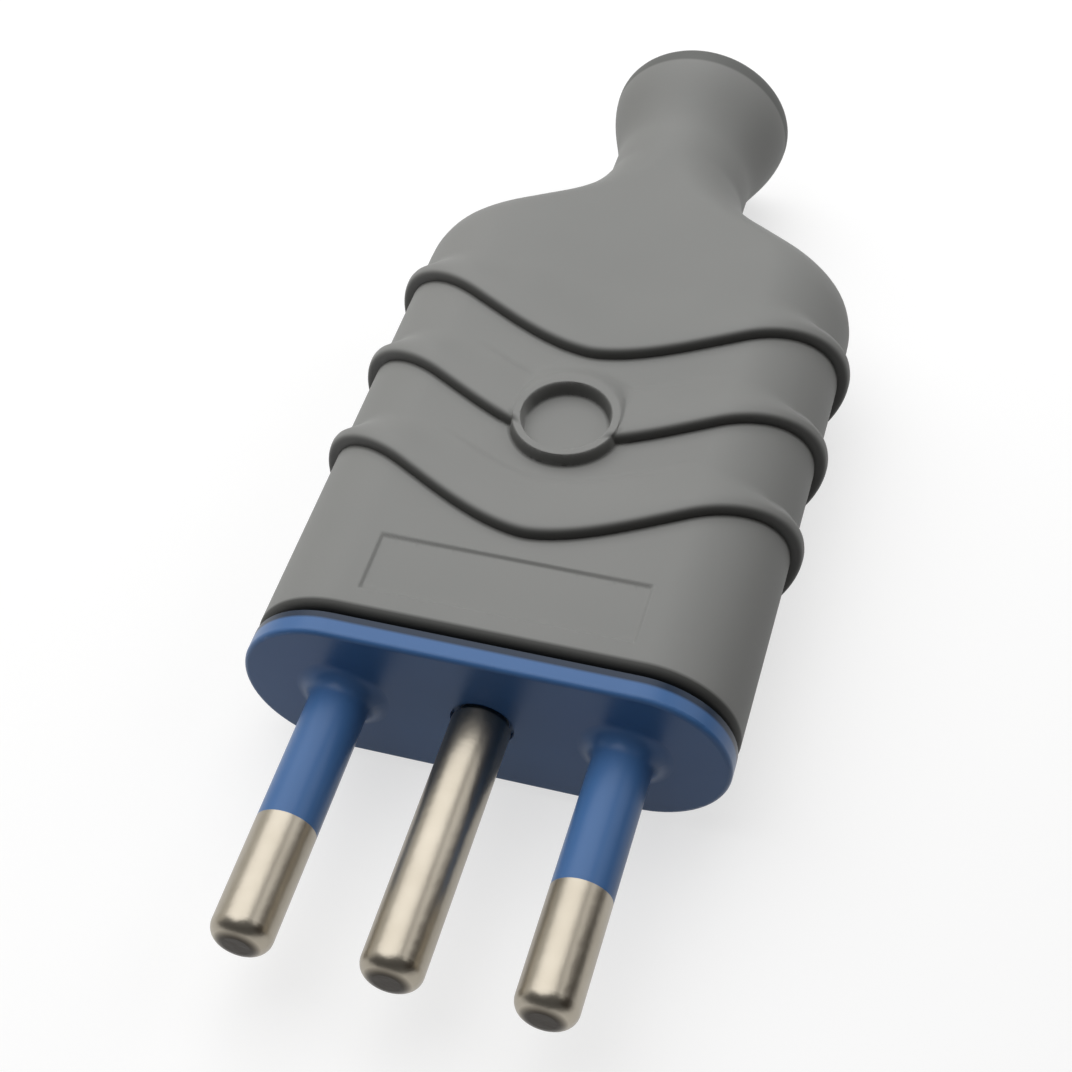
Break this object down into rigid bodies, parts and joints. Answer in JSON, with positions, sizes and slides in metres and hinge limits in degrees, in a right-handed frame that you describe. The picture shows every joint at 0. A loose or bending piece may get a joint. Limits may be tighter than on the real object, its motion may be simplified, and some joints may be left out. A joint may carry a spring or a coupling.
{
  "type": "three-pin mains plug",
  "caption": "Straight rewirable mains plug with round pins in one row, a soft grip-ribbed cover, a hard insert with terminals and a cord clamp.",
  "frame": {"origin": "the middle of the pin face, where the axis of the middle (earth) pin crosses it", "axes": "+X along the row of pins, +Y from the pin face to the cord neck, +Z out of the broad front with the ring"},
  "size_m": [0.0344, 0.0823, 0.0144],
  "materials": {
    "cover_grey": "soft moulded, fine matt grain",
    "insert_blue": "hard moulded, semi-gloss",
    "pin_nickel": "turned and nickel plated",
    "screw_steel": "zinc plated"
  },
  "bodies": {
    "root": {"cover": "cover_grey", "insert_base": "insert_blue", "insert_lid": "insert_blue", "cord_clamp_bar": "insert_blue", "live_pin": "pin_nickel", "earth_pin": "pin_nickel", "neutral_pin": "pin_nickel", "live_terminal_screw": "screw_steel", "earth_terminal_screw": "screw_steel", "neutral_terminal_screw": "screw_steel", "left_lid_screw": "screw_steel", "right_lid_screw": "screw_steel", "left_clamp_screw": "screw_steel", "right_clamp_screw": "screw_steel", "left_clamp_nut": "screw_steel", "right_clamp_nut": "screw_steel"}
  },
  "joints": []
}
